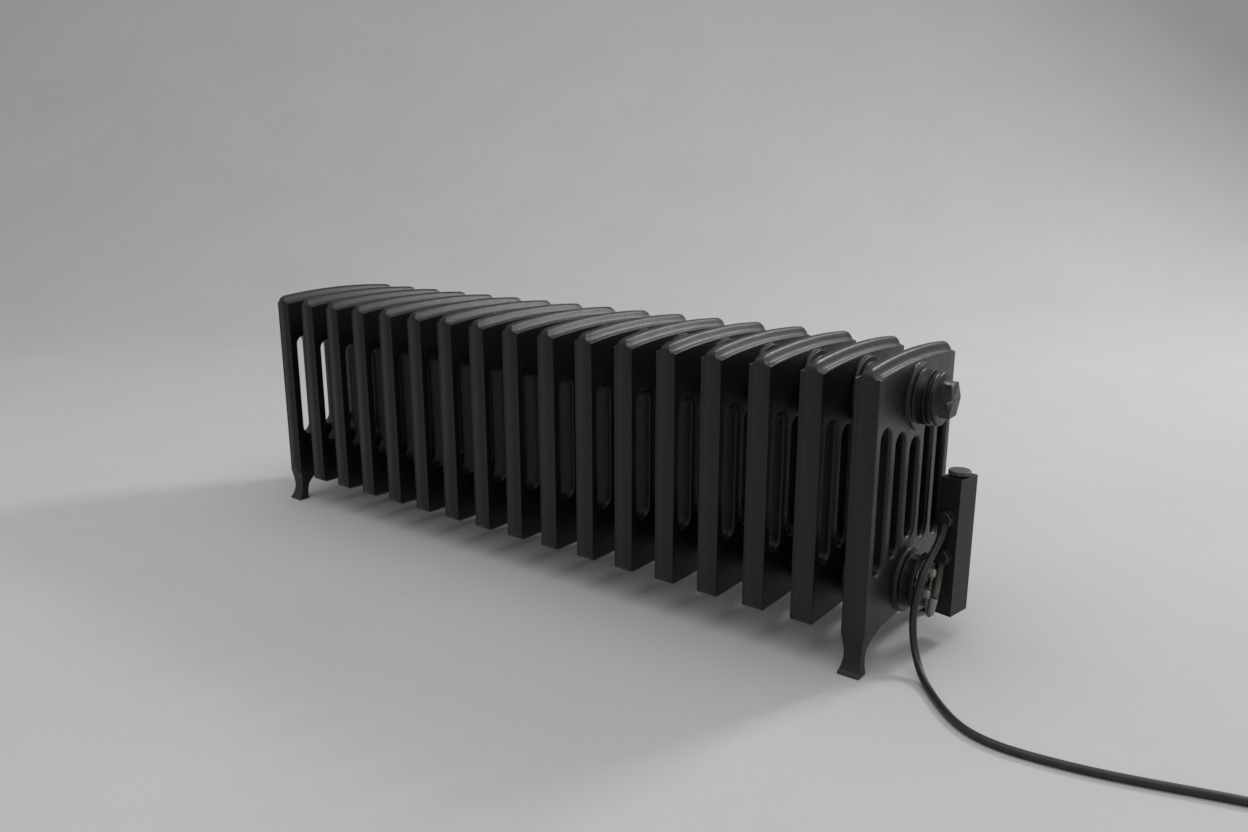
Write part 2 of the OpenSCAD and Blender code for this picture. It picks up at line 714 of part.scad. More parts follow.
// The boot on the lead's end, and caps over the terminals
module lead_boots() {
    color(PORCELAIN) {
        at_last() swept(BOOT_ROUTE, [4.3, 4.1, 3.8, 3.6], 12);
        at_terminals() difference() {
            turned([[2.1, 0], [2.1, 4.6], [5.2, 4.6], [6, 3.9], [6, 0]]);
            turned([[2, 0], [2, 4.1], [5.4, 4.1], [5.4, 0]]);
        }
    }
}

module lead_wires() {
    color(PORCELAIN) at_last() for (route = WIRE_ROUTES) swept(route, even(route, wire_r), 8);
}

// Tapered sleeve round the cord's first stretch below the upper outlet
module strain_relief() {
    color(BLACK) at_last() swept([for (i = [0:3]) CORD_ROUTE[i]], [4.4, 4.8, 4.6, 4.2], 12);
}

module power_cord() {
    color(BLACK) at_last() swept(CORD_ROUTE, even(CORD_ROUTE, cord_d / 2), 10);
}

module cord_tail() {
    color(BLACK) at_last() swept(TAIL_ROUTE, even(TAIL_ROUTE, cord_d / 2), 10);
}

module at_coil() { at_last() translate([coil_centre[0], coil_centre[1], 0]) children(); }

// Outer shape of the coil's turns
module cord_coil() {
    color(BLACK) at_coil() rotate_extrude() polygon([[coil_inner_r + 2, 0],
        [coil_outer_r - 2, 0], [coil_outer_r, 2.4], [coil_outer_r, cord_d - 2.4],
        [coil_outer_r - 2, cord_d], [coil_inner_r + 2, cord_d], [coil_inner_r, cord_d - 2.4],
        [coil_inner_r, 2.4]]);
}

// Strap round the turns, flat on the floor under them
module cord_tie() {
    strap_w = 9;
    strap_t = 0.8;
    gap = 0.3;
    inner = coil_inner_r - gap;
    span = coil_outer_r - coil_inner_r + 2 * gap;
    color([0.16, 0.16, 0.16]) at_coil() rotate([0, 0, coil_tie_angle]) difference() {
        translate([inner - strap_t, -strap_w / 2, 0])
            cube([span + 2 * strap_t, strap_w, cord_d + gap + strap_t]);
        translate([inner, -strap_w, 0.5]) cube([span, 2 * strap_w, cord_d + gap - 0.5]);
    }
}

// ---- Plug ----

// Children are drawn with the plug's axis as Z, from where the cord enters to the pins
module at_plug() {
    at_last() translate(PLUG_START) rotate([0, 0, plug_heading]) along_x()
        rotate([0, 0, plug_roll]) children();
}

plug_face = plug_relief_l + plug_body_l;

module mains_plug() {
    color(BLACK) at_plug() difference() {
        rotate_extrude() polygon([[0, 0], [5.4, 0], [5.8, 1], [8.2, plug_relief_l],
            [9.4, plug_relief_l + 1.5], [13, plug_relief_l + 5], [14.2, plug_relief_l + 10],
            [14.2, plug_relief_l + 18], [16, plug_relief_l + 21], [18.4, plug_relief_l + 22.5],
            [plug_r, plug_relief_l + 24], [plug_r, plug_face - 1], [plug_r - 1, plug_face],
            [0, plug_face]]);
        for (side = [-1, 1]) {
            translate([side * plug_pin_spacing / 2, 0, plug_face - 16])
                cylinder(h = 17, r = plug_pin_root_r);
            translate([-2.6, side * 17.5 - 2, plug_face - 13]) cube([5.2, 4, 14]);
        }
    }
}

module plug_pins() {
    color(STEEL) at_plug() for (side = [-1, 1])
        translate([side * plug_pin_spacing / 2, 0, plug_face - 16]) rotate_extrude()
            polygon([[0, 0], [plug_pin_root_r, 0], [plug_pin_root_r, 16], [plug_pin_r, 16],
                [plug_pin_r, 16 + plug_pin_l - 1], [plug_pin_r - 1, 16 + plug_pin_l],
                [0, 16 + plug_pin_l]]);
}

// Earth contacts in the plug's two side notches
module plug_earth() {
    color(BRASS) at_plug() for (side = [-1, 1])
        translate([-2.3, side * 17.6 - 1.3, plug_face - 12.8]) cube([4.6, 1.6, 12.4]);
}

// ---- Whole part ----

for (k = [1:SECTIONS]) section(k);
nipples(top_hub_z);  // top_nipples
nipples(bottom_hub_z);  // bottom_nipples
gaskets(top_hub_z);  // top_gaskets
gaskets(bottom_hub_z);  // bottom_gaskets
end_gaskets();
top_right_bush();
top_left_bush();
bottom_left_bush();
top_right_plug();
top_left_plug();
bottom_left_plug();
element_bush();
element_head();
element_rods();
thermostat_pocket();
thermostat_bulb();
terminal_insulators();
terminal_studs();
terminal_nuts();
box_bracket();
bracket_screws();
box_shell();
box_top();
box_bottom();
thermostat_body();
knob_spindle();
knob();
terminal_block();
outlet_bases();
upper_outlet();
lower_outlet();
outlet_nuts();
element_lead();
lead_boots();
lead_wires();
strain_relief();
power_cord();
cord_coil();
cord_tail();
cord_tie();
mains_plug();
plug_pins();
plug_earth();
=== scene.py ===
"""Finish of a cast iron electric radiator.

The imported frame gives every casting, fitting and housing its place. This file gives them their
rounded edges, paint and metal, lays the mains cord, and sets up a plain studio round them.
"""

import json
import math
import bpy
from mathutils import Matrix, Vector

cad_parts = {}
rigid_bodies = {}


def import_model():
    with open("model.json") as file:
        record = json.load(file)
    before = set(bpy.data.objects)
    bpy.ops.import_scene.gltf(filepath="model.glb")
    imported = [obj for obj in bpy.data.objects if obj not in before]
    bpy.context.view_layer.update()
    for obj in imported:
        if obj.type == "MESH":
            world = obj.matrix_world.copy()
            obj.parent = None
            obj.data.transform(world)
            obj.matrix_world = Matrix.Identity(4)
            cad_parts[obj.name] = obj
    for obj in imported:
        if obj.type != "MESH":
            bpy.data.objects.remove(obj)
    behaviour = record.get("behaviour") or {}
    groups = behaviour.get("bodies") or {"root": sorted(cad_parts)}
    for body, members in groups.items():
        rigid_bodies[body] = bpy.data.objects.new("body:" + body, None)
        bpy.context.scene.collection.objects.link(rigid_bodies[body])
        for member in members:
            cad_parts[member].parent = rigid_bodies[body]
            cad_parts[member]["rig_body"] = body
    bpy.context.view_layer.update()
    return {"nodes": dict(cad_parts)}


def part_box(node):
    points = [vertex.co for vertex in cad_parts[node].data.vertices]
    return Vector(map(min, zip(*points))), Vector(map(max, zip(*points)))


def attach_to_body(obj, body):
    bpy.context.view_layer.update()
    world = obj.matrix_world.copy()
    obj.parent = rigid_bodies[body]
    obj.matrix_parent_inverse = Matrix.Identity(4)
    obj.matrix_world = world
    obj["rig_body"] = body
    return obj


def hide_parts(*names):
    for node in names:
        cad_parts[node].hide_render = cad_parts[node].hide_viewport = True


bl_info = {
    "name": "Cast Iron Radiator",
    "version": (1, 0, 0),
    "blender": (4, 5, 0),
    "location": "View3D > Sidebar > Radiator",
    "description": "Finishes a cast iron electric radiator on its mechanical frame",
    "category": "Object",
}

import bmesh
import bpy
from mathutils import Matrix, Vector

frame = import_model()

MM = 0.001
SHARP_ANGLE = 28
SECTION_NODES = sorted(name for name in frame["nodes"] if name.startswith("section_"))
LAST_SECTION = SECTION_NODES[-1]
LAST_X = sum(corner[0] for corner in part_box(LAST_SECTION)) / 2
FIRST_X = sum(corner[0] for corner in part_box(SECTION_NODES[0])) / 2
BOTTOM_HUB_Z = sum(corner[2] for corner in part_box("element_bush")) / 2

# The cord's centre line as [x, y, z] in millimetres from the last section's centre on the floor:
# down from the upper outlet, along the floor, round the coil, and over it to the plug.
CORD_ROUTE = [
    [42.8, 24, 136.1], [42.6, 20.3, 129.6], [42.2, 15.6, 123.9], [41.8, 9.8, 118.9],
    [41.5, 2.6, 114.6], [41.3, -5, 110.4], [41.3, -12.8, 105.8], [41.2, -20, 100.3],
    [41, -26.4, 93.7], [40.7, -31.6, 86], [40.3, -35.6, 77.6], [40.1, -38.7, 68.8],
    [40.2, -41.1, 59.8], [40.9, -43.3, 50.6], [42.3, -45.5, 41.6], [44.6, -48.4, 33],
    [48, -52.4, 25], [52.6, -57.9, 17.8], [58.4, -65, 11.8], [65.4, -73.6, 7.4],
    [73.4, -83.3, 4.9], [82.5, -94, 4], [97, -111, 4], [115, -129, 4], [132.5, -141.5, 4],
    [150, -148.5, 4], [169, -151.4, 4], [190, -151, 4], [215, -148, 4], [245, -142.4, 4],
    [280, -133.3, 4], [315, -122.6, 4], [350, -112, 4], [382, -103.5, 4], [414, -95, 4],
]
TAIL_ROUTE = [
    [431, -69.3, 4], [440.3, -67.8, 4.7], [448.9, -64, 5.9], [456.4, -58.4, 7.5],
    [462.6, -51, 9.2], [467.2, -42.5, 10.8], [470.1, -33.2, 12], [471.4, -23.5, 12.6],
    [471.4, -13.7, 12.6], [470.4, -4, 12.6], [468.6, 5.6, 12.7], [466.3, 15.1, 13.2],
    [463.7, 24.6, 14.5], [461.1, 34, 16.2], [458.5, 43.4, 17.8], [455.9, 52.8, 18.8],
    [453.3, 62.2, 19],
]
COIL_CENTRE = (431, -33)
COIL_START_ANGLE = -75
COIL_TURNED = 1065
COIL_STEP = 15

# The element's own lead, its boot and its wires, in the same millimetres
LEAD_ROUTE = [
    [43.1, 24, 92.1], [43.8, 19.8, 86.6], [45, 14.2, 81.8],
    [46.3, 7.8, 76.8], [47.6, 1.2, 72], [48.7, -4.6, 68.2], [49.4, -8.6, 65.4],
]
BOOT_ROUTE = [[49.5, -8.6, 65.8], [49.3, -10, 60.5], [48.7, -11.1, 54.3], [48, -11.8, 48]]
WIRE_ROUTES = [
    [[48, -11.8, 49], [47.4, -12.3, 46.4], [45.4, -12.8, 46.4], [43.6, -12.8, 51],
     [43, -12.4, 58], [43, -12.1, 65]],
    [[48, -11.6, 49], [47, -9.8, 46.6], [44.6, -5, 48.2], [43, 2, 53], [42.8, 8.4, 58.6],
     [43, 11.8, 66]],
    [[47.9, -11.4, 49], [46.8, -10.2, 47.4], [44.4, -8, 50.4], [42.5, -6, 60],
     [42.1, -4, 71], [42.3, -1.4, 80], [43, 0, 87.4]],
]


# ---- Settings ----


class PaintSettings(bpy.types.PropertyGroup):
    """Black paint on the castings and the sheet parts."""

    iron_colour: bpy.props.FloatVectorProperty(
        name="Iron paint", description="Colour of the paint on the castings",
        subtype="COLOR", size=3, min=0, max=1, default=(0.0045, 0.0045, 0.0047),
    )
    box_colour: bpy.props.FloatVectorProperty(
        name="Box paint", description="Colour of the paint on the control box",
        subtype="COLOR", size=3, min=0, max=1, default=(0.011, 0.0113, 0.0118),
    )
    roughness: bpy.props.FloatProperty(
        name="Paint roughness", description="How matte the paint on the castings is",
        min=0.1, max=1, default=0.34,
    )
    grain: bpy.props.FloatProperty(
        name="Cast grain", description="Height of the casting's grain under the paint",
        subtype="DISTANCE", unit="LENGTH", min=0, max=0.002, default=0.00035,
    )
    edge: bpy.props.FloatProperty(
        name="Casting edge", description="Width of the rounding on a casting's edges",
        subtype="DISTANCE", unit="LENGTH", min=0, max=0.003, default=0.0008,
    )


class CordSettings(bpy.types.PropertyGroup):
    """Mains cord and the element's own lead."""

    diameter: bpy.props.FloatProperty(
        name="Cord diameter", description="Diameter of the mains cord's sheath",
        subtype="DISTANCE", unit="LENGTH", min=0.006, max=0.009, default=0.008,
    )
    coil_radius: bpy.props.FloatProperty(
        name="Coil radius", description="Radius of the coil's outer turn at the cord's centre",
        subtype="DISTANCE", unit="LENGTH", min=0.05, max=0.07, default=0.06,
    )
    colour: bpy.props.FloatVectorProperty(
        name="Sheath", description="Colour of the cord's sheath and the plug",
        subtype="COLOR", size=3, min=0, max=1, default=(0.012, 0.012, 0.0125),
    )
    lead_diameter: bpy.props.FloatProperty(
        name="Lead diameter", description="Diameter of the sleeve on the element's lead",
        subtype="DISTANCE", unit="LENGTH", min=0.006, max=0.009, default=0.0082,
    )
    lead_colour: bpy.props.FloatVectorProperty(
        name="Lead sleeve", description="Colour of the sleeve on the element's lead",
        subtype="COLOR", size=3, min=0, max=1, default=(0.03, 0.033, 0.027),
    )


class StageSettings(bpy.types.PropertyGroup):
    """Studio round the radiator."""

    floor_colour: bpy.props.FloatVectorProperty(
        name="Floor", description="Colour of the floor and the backdrop",
        subtype="COLOR", size=3, min=0, max=1, default=(0.56, 0.56, 0.557),
    )
    key_power: bpy.props.FloatProperty(
        name="Key lamp", description="Power of the large lamp behind and to the right",
        unit="POWER", min=0, max=2000, default=60,
    )
    top_power: bpy.props.FloatProperty(
        name="Top lamp", description="Power of the wide lamp overhead",
        unit="POWER", min=0, max=2000, default=60,
    )
    ambient: bpy.props.FloatProperty(
        name="Ambient", description="Strength of the even light from all round",
        min=0, max=2, default=0.42,
    )
    lens: bpy.props.FloatProperty(
        name="Lens", description="Focal length of the camera, in millimetres",
        min=10, max=200, default=28.66,
    )


# ---- Materials ----


def new_material(name, colour, roughness, metallic=0.0, specular=0.5, edge=0.0003):
    """A material with one shader, which rounds the edges it lies on by edge, in metres."""
    material = bpy.data.materials.new(name)
    material.use_nodes = True
    shader = material.node_tree.nodes["Principled BSDF"]
    shader.inputs["Base Color"].default_value = (*colour, 1)
    shader.inputs["Roughness"].default_value = roughness
    shader.inputs["Metallic"].default_value = metallic
    shader.inputs["Specular IOR Level"].default_value = specular
    if edge:
        rounding = material.node_tree.nodes.new("ShaderNodeBevel")
        rounding.samples = 4
        rounding.inputs["Radius"].default_value = edge
        material.node_tree.links.new(rounding.outputs["Normal"], shader.inputs["Normal"])
    return material, material.node_tree, shader


def noise(tree, scale, detail=3.0, stretch=(1, 1, 1)):
    """Noise in object coordinates. scale is in features per metre."""
    coordinates = tree.nodes.new("ShaderNodeTexCoord")
    mapping = tree.nodes.new("ShaderNodeMapping")
    mapping.inputs["Scale"].default_value = stretch
    texture = tree.nodes.new("ShaderNodeTexNoise")
    texture.inputs["Scale"].default_value = scale
    texture.inputs["Detail"].default_value = detail
    tree.links.new(coordinates.outputs["Object"], mapping.inputs["Vector"])
    tree.links.new(mapping.outputs["Vector"], texture.inputs["Vector"])
    return texture.outputs["Fac"]


def spots(tree, scale, size):
    """Small round spots scattered over a surface, 1 inside a spot and 0 between them."""
    coordinates = tree.nodes.new("ShaderNodeTexCoord")
    cells = tree.nodes.new("ShaderNodeTexVoronoi")
    cells.inputs["Scale"].default_value = scale
    tree.links.new(coordinates.outputs["Object"], cells.inputs["Vector"])
    return ranged(tree, cells.outputs["Distance"], (size, size * 0.6), (0, 1))


def ranged(tree, value, source, target):
    """value, with the range source stretched to target and held at its ends."""
    node = tree.nodes.new("ShaderNodeMapRange")
    node.inputs["From Min"].default_value = source[0]
    node.inputs["From Max"].default_value = source[1]
    node.inputs["To Min"].default_value = target[0]
    node.inputs["To Max"].default_value = target[1]
    tree.links.new(value, node.inputs["Value"])
    return node.outputs["Result"]


def vary_roughness(tree, shader, value, low, high):
    tree.links.new(ranged(tree, value, (0.3, 0.7), (low, high)), shader.inputs["Roughness"])


def blend_colour(tree, shader, value, low, high):
    """Base colour between two colours, as value runs from 0 to 1."""
    mix = tree.nodes.new("ShaderNodeMix")
    mix.data_type = "RGBA"
    mix.inputs["A"].default_value = (*low, 1)
    mix.inputs["B"].default_value = (*high, 1)
    tree.links.new(value, mix.inputs["Factor"])
    tree.links.new(mix.outputs["Result"], shader.inputs["Base Color"])


def bump(tree, shader, height, distance, strength=1.0):
    """Adds relief to a shader, over what it has already."""
    node = tree.nodes.new("ShaderNodeBump")
    node.inputs["Distance"].default_value = distance
    node.inputs["Strength"].default_value = strength
    tree.links.new(height, node.inputs["Height"])
    if shader.inputs["Normal"].is_linked:
        tree.links.new(shader.inputs["Normal"].links[0].from_socket, node.inputs["Normal"])
    tree.links.new(node.outputs["Normal"], shader.inputs["Normal"])


def scaled(colour, factor):
    return tuple(min(1, channel * factor) for channel in colour)


def iron_paint(name, factor=1.0):
    """Black satin paint over cast iron: fine grain, soft waves, and a few specks of dust."""
    paint = bpy.context.scene.radiator_paint
    colour = scaled(paint.iron_colour, factor)
    material, tree, shader = new_material(name, colour, paint.roughness, specular=0.45,
                                          edge=paint.edge)
    grain = noise(tree, 900, detail=4)
    wave = noise(tree, 45, detail=2)
    dust = spots(tree, 240, 0.09)
    blend_colour(tree, shader, dust, colour, scaled(colour, 7))
    vary_roughness(tree, shader, grain, paint.roughness - 0.07, paint.roughness + 0.13)
    bump(tree, shader, wave, 0.0012, 0.35)
    bump(tree, shader, grain, paint.grain, 0.8)
    return material


def sheet_paint(name):
    """Finer satin paint on the folded sheet of the control box."""
    paint = bpy.context.scene.radiator_paint
    material, tree, shader = new_material(name, paint.box_colour, 0.45, specular=0.35,
                                          edge=0.0008)
    grain = noise(tree, 1500, detail=2)
    streak = noise(tree, 40, detail=3, stretch=(1, 1, 0.2))
    blend_colour(tree, shader, ranged(tree, streak, (0.35, 0.7), (0, 1)),
                 paint.box_colour, scaled(paint.box_colour, 1.35))
    vary_roughness(tree, shader, grain, 0.4, 0.52)
    bump(tree, shader, grain, 0.00012, 0.6)
    return material


def metal(name, colour, roughness, brush=(1, 1, 1), scale=500, relief=0.00006):
    """Bare metal with fine turning or rolling marks along the least stretched direction."""
    material, tree, shader = new_material(name, colour, roughness, metallic=1.0)
    marks = noise(tree, scale, detail=4, stretch=brush)
    blend_colour(tree, shader, ranged(tree, marks, (0.35, 0.75), (0, 1)),
                 scaled(colour, 0.7), colour)
    vary_roughness(tree, shader, marks, roughness - 0.08, roughness + 0.14)
    bump(tree, shader, marks, relief, 0.5)
    return material


def brass_with_sealant(name):
    """Turned brass whose thread is smeared with pale sealing paste in uneven rings."""
    material, tree, shader = new_material(name, (0.3, 0.26, 0.17), 0.34, metallic=0.85)
    smear = noise(tree, 260, detail=5, stretch=(2.4, 0.6, 0.6))
    fine = noise(tree, 1400, detail=3)
    blend_colour(tree, shader, ranged(tree, smear, (0.42, 0.6), (0, 1)),
                 (0.035, 0.03, 0.022), (0.34, 0.32, 0.27))
    vary_roughness(tree, shader, fine, 0.22, 0.5)
    bump(tree, shader, smear, 0.0012, 0.9)
    return material


def plastic(name, colour, roughness=0.45, grain=0.00008, scale=1800, spread=1.5, metallic=0.0):
    """Moulded plastic or rubber with a faint skin and slightly uneven tone."""
    material, tree, shader = new_material(name, colour, roughness, metallic=metallic)
    skin = noise(tree, scale, detail=2)
    tone = noise(tree, 90, detail=2)
    blend_colour(tree, shader, ranged(tree, tone, (0.35, 0.7), (0, 1)),
                 colour, scaled(colour, spread))
    vary_roughness(tree, shader, skin, roughness - 0.06, roughness + 0.08)
    bump(tree, shader, skin, grain, 0.6)
    return material


def aged_ceramic(name):
    """Off-white ceramic and heat-proof cover, stained brown and grey by heat."""
    material, tree, shader = new_material(name, (0.25, 0.24, 0.19), 0.4)
    stain = noise(tree, 320, detail=5)
    blend_colour(tree, shader, ranged(tree, stain, (0.4, 0.62), (0, 1)),
                 (0.05, 0.048, 0.036), (0.27, 0.26, 0.21))
    bump(tree, shader, stain, 0.0006, 0.6)
    return material


def floor_paper(name):
    """Pale matte paper with a faint mottle."""
    colour = bpy.context.scene.radiator_stage.floor_colour
    material, tree, shader = new_material(name, colour, 0.75, specular=0.25, edge=0)
    mottle = noise(tree, 3, detail=4)
    blend_colour(tree, shader, ranged(tree, mottle, (0.3, 0.7), (0, 1)),
                 scaled(colour, 0.975), scaled(colour, 1.015))
    return material


# ---- Making pieces ----


def add_object(name, data):
    piece = bpy.data.objects.new(name, data)
    bpy.context.scene.collection.objects.link(piece)
    return piece


def attach(piece, material, body, replaces=()):
    """Gives a piece its material and its body, and hides the nodes it stands for."""
    piece.data.materials.clear()
    piece.data.materials.append(material)
    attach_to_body(piece, body)
    if replaces:
        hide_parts(*replaces)
    return piece


def merged_copy(node, shift=(0, 0, 0)):
    """Mesh of a node with its loose triangles joined again, moved by shift."""
    mesh = frame["nodes"][node].data.copy()
    mesh.transform(Matrix.Translation(Vector(shift)))
    shape = bmesh.new()
    shape.from_mesh(mesh)
    bmesh.ops.remove_doubles(shape, verts=shape.verts, dist=2e-6)
    shape.to_mesh(mesh)
    shape.free()
    mesh.shade_smooth()
    mesh.set_sharp_from_angle(angle=math.radians(SHARP_ANGLE))
    return mesh


def finish_node(node, material):
    """A copy of a node with clean shading, which stands for it."""
    piece = add_object(node + "_finish", merged_copy(node))
    owner = frame["nodes"][node]["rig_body"]
    attach(piece, material, owner, [node])
    flats = piece.modifiers.new("Flats", "WEIGHTED_NORMAL")
    flats.keep_sharp = True
    return piece


def repaint(node, material):
    """Gives a node that keeps its own mesh a better material."""
    data = frame["nodes"][node].data
    data.materials.clear()
    data.materials.append(material)


def from_last(points):
    """Points in millimetres from the last section's centre, as points of the scene."""
    return [Vector((LAST_X + x * MM, y * MM, z * MM)) for x, y, z in points]


def smooth_path(points, steps):
    """Points of a smooth curve through all of points, with steps points to each gap."""
    path = []
    last = len(points) - 1
    for i in range(last):
        before, start = points[max(i - 1, 0)], points[i]
        end, after = points[i + 1], points[min(i + 2, last)]
        for k in range(steps):
            t = k / steps
            path.append(0.5 * (2 * start + (end - before) * t
                               + (2 * before - 5 * start + 4 * end - after) * t * t
                               + (3 * start - before - 3 * end + after) * t ** 3))
    path.append(points[last])
    return path


def tube(name, path, radius, radii=None):
    """Round tube along a path. radii scales the radius at each of its points."""
    data = bpy.data.curves.new(name, "CURVE")
    data.dimensions = "3D"
    data.bevel_depth = radius
    data.bevel_resolution = 5
    data.use_fill_caps = True
    spline = data.splines.new("POLY")
    spline.points.add(len(path) - 1)
    for i, place in enumerate(path):
        spline.points[i].co = (*place, 1)
        spline.points[i].radius = radii[i] if radii else 1
    spline.use_smooth = True
    return add_object(name, data)


# ---- Operators ----


class RADIATOR_OT_camera(bpy.types.Operator):
    """Places the camera to the right of the front, a little above the radiator"""

    bl_idname = "radiator.camera"
    bl_label = "Camera"

    def execute(self, context):
        data = bpy.data.cameras.new("camera")
        data.lens = context.scene.radiator_stage.lens
        data.sensor_width = 36
        data.clip_end = 50
        camera = add_object("camera", data)
        camera.location = (0.8595, -1.0027, 0.5142)
        camera.rotation_euler = (math.radians(76.15), 0, math.radians(37.28))
        context.scene.camera = camera
        return {"FINISHED"}


class RADIATOR_OT_plug(bpy.types.Operator):
    """Finishes the plug, its pins and the strap round the coil"""

    bl_idname = "radiator.plug"
    bl_label = "Plug"

    def execute(self, context):
        colour = context.scene.radiator_cord.colour
        finish_node("mains_plug", plastic("plug_rubber", colour, 0.5))
        finish_node("plug_pins", metal("pin_nickel", (0.62, 0.62, 0.6), 0.22))
        finish_node("plug_earth", metal("earth_brass", (0.6, 0.5, 0.3), 0.3))
        finish_node("cord_tie", plastic("tie_strap", (0.012, 0.012, 0.012), 0.6))
        return {"FINISHED"}


class RADIATOR_OT_cord(bpy.types.Operator):
    """Lays the mains cord from the upper outlet to the plug"""

    bl_idname = "radiator.cord"
    bl_label = "Mains cord"

    def execute(self, context):
        settings = context.scene.radiator_cord
        rubber = plastic("cord_rubber", settings.colour, 0.42, grain=0.00005)
        route = from_last(CORD_ROUTE + self.coil_points(settings) + TAIL_ROUTE)
        path = smooth_path(route, 3)
        cord = tube("mains_cord", path, settings.diameter / 2)
        attach(cord, rubber, "radiator", ["power_cord", "cord_coil", "cord_tail"])
        relief = self.strain_relief(rubber)
        return {"FINISHED"}

    def coil_points(self, settings):
        """A flat spiral that steps in by the cord's diameter with each turn."""
        points = []
        for turned in range(0, COIL_TURNED, COIL_STEP):
            radius = (settings.coil_radius - settings.diameter * turned / 360) / MM
            angle = math.radians(COIL_START_ANGLE + turned)
            points.append([COIL_CENTRE[0] + radius * math.cos(angle),
                           COIL_CENTRE[1] + radius * math.sin(angle),
                           settings.diameter / 2 / MM])
        return points

    def strain_relief(self, rubber):
        """A sleeve that narrows along the cord's first stretch below the outlet."""
        path = smooth_path(from_last(CORD_ROUTE[:4]), 4)
        radii = [1 - 0.17 * i / (len(path) - 1) for i in range(len(path))]
        relief = tube("strain_relief_finish", path, 4.9 * MM, radii)
        return attach(relief, rubber, "radiator", ["strain_relief"])


class RADIATOR_OT_sections(bpy.types.Operator):
    """Gives every casting its rounded edges and its paint"""

    bl_idname = "radiator.sections"
    bl_label = "Sections"

    def execute(self, context):
        paint = iron_paint("iron_paint")
        for node in SECTION_NODES:
            finish_node(node, paint)
        return {"FINISHED"}


class RADIATOR_OT_hub_fittings(bpy.types.Operator):
    """Finishes the bushes, plugs, nipples and gaskets on the hubs"""

    bl_idname = "radiator.hub_fittings"
    bl_label = "Hub fittings"

    def execute(self, context):
        paint = iron_paint("fitting_paint", 1.4)
        for corner in ("top_right", "top_left", "bottom_left"):
            finish_node(corner + "_bush", paint)
            finish_node(corner + "_plug", paint)
        fibre = plastic("gasket_fibre", (0.02, 0.018, 0.016), 0.8, grain=0.0002)
        for row in ("top", "bottom"):
            repaint(row + "_nipples", metal(row + "_nipple_iron", (0.3, 0.3, 0.3), 0.5))
        for row in ("top", "bottom", "end"):
            repaint(row + "_gaskets", fibre)
        return {"FINISHED"}


class RADIATOR_OT_element(bpy.types.Operator):
    """Finishes the heating element's head, bush and terminals"""

    bl_idname = "radiator.element"
    bl_label = "Heating element"

    def execute(self, context):
        finish_node("element_bush", iron_paint("element_bush_paint", 1.2))
        finish_node("element_head", brass_with_sealant("element_brass"))
        ceramic = aged_ceramic("terminal_ceramic")
        finish_node("terminal_insulators", ceramic)
        finish_node("terminal_nuts", metal("nut_brass", (0.3, 0.27, 0.19), 0.35))
        steel = metal("element_steel", (0.5, 0.5, 0.5), 0.35, brush=(0.05, 1, 1))
        for node in ("terminal_studs", "element_rods", "thermostat_pocket"):
            repaint(node, steel)
        repaint("thermostat_bulb", metal("bulb_copper", (0.6, 0.33, 0.2), 0.3))
        return {"FINISHED"}


class RADIATOR_OT_control_box(bpy.types.Operator):
    """Finishes the control box, its bracket, its knob and what is inside it"""

    bl_idname = "radiator.control_box"
    bl_label = "Control box"

    def execute(self, context):
        paint = sheet_paint("box_paint")
        finish_node("box_shell", paint)
        finish_node("box_top", paint)
        finish_node("box_bottom", paint)
        steel = metal("bracket_steel", (0.12, 0.12, 0.12), 0.45)
        finish_node("box_bracket", steel)
        finish_node("bracket_screws", metal("screw_steel", (0.5, 0.5, 0.5), 0.3))
        finish_node("knob", plastic("knob_plastic", (0.075, 0.076, 0.078), 0.38))
        repaint("knob_spindle", metal("spindle_steel", (0.5, 0.5, 0.5), 0.35))
        repaint("thermostat_body", plastic("thermostat_plastic", (0.02, 0.02, 0.02)))
        repaint("terminal_block", plastic("block_ceramic", (0.6, 0.58, 0.5), 0.3))
        return {"FINISHED"}


class RADIATOR_OT_outlets(bpy.types.Operator):
    """Finishes the two round cable outlets on the front of the control box"""

    bl_idname = "radiator.outlets"
    bl_label = "Cable outlets"

    def execute(self, context):
        black = plastic("outlet_plastic", (0.012, 0.012, 0.0125), 0.36, grain=0.00004)
        finish_node("outlet_bases", black)
        finish_node("upper_outlet", black)
        finish_node("lower_outlet", black)
        repaint("outlet_nuts", metal("outlet_nut_steel", (0.5, 0.5, 0.5), 0.35))
        return {"FINISHED"}


class RADIATOR_OT_element_lead(bpy.types.Operator):
    """Lays the element's own lead, its boots and the wires to the terminals"""

    bl_idname = "radiator.element_lead"
    bl_label = "Element lead"

    def execute(self, context):
        settings = context.scene.radiator_cord
        sleeve = plastic("lead_sleeve", settings.lead_colour, 0.5, grain=0.0002, scale=1200)
        lead = tube("element_lead_finish", smooth_path(from_last(LEAD_ROUTE), 5),
                    settings.lead_diameter / 2)
        attach(lead, sleeve, "radiator", ["element_lead"])
        pale = plastic("boot_rubber", (0.3, 0.29, 0.26), 0.45, grain=0.0003, scale=900,
                       spread=0.6)
        finish_node("lead_boots", pale)
        cover = aged_ceramic("wire_cover")
        for i, route in enumerate(WIRE_ROUTES, start=1):
            wire = tube("lead_wire_%d" % i, smooth_path(from_last(route), 5), 1.2 * MM)
            attach(wire, cover, "radiator", ["lead_wires"] if i == 1 else [])
        return {"FINISHED"}


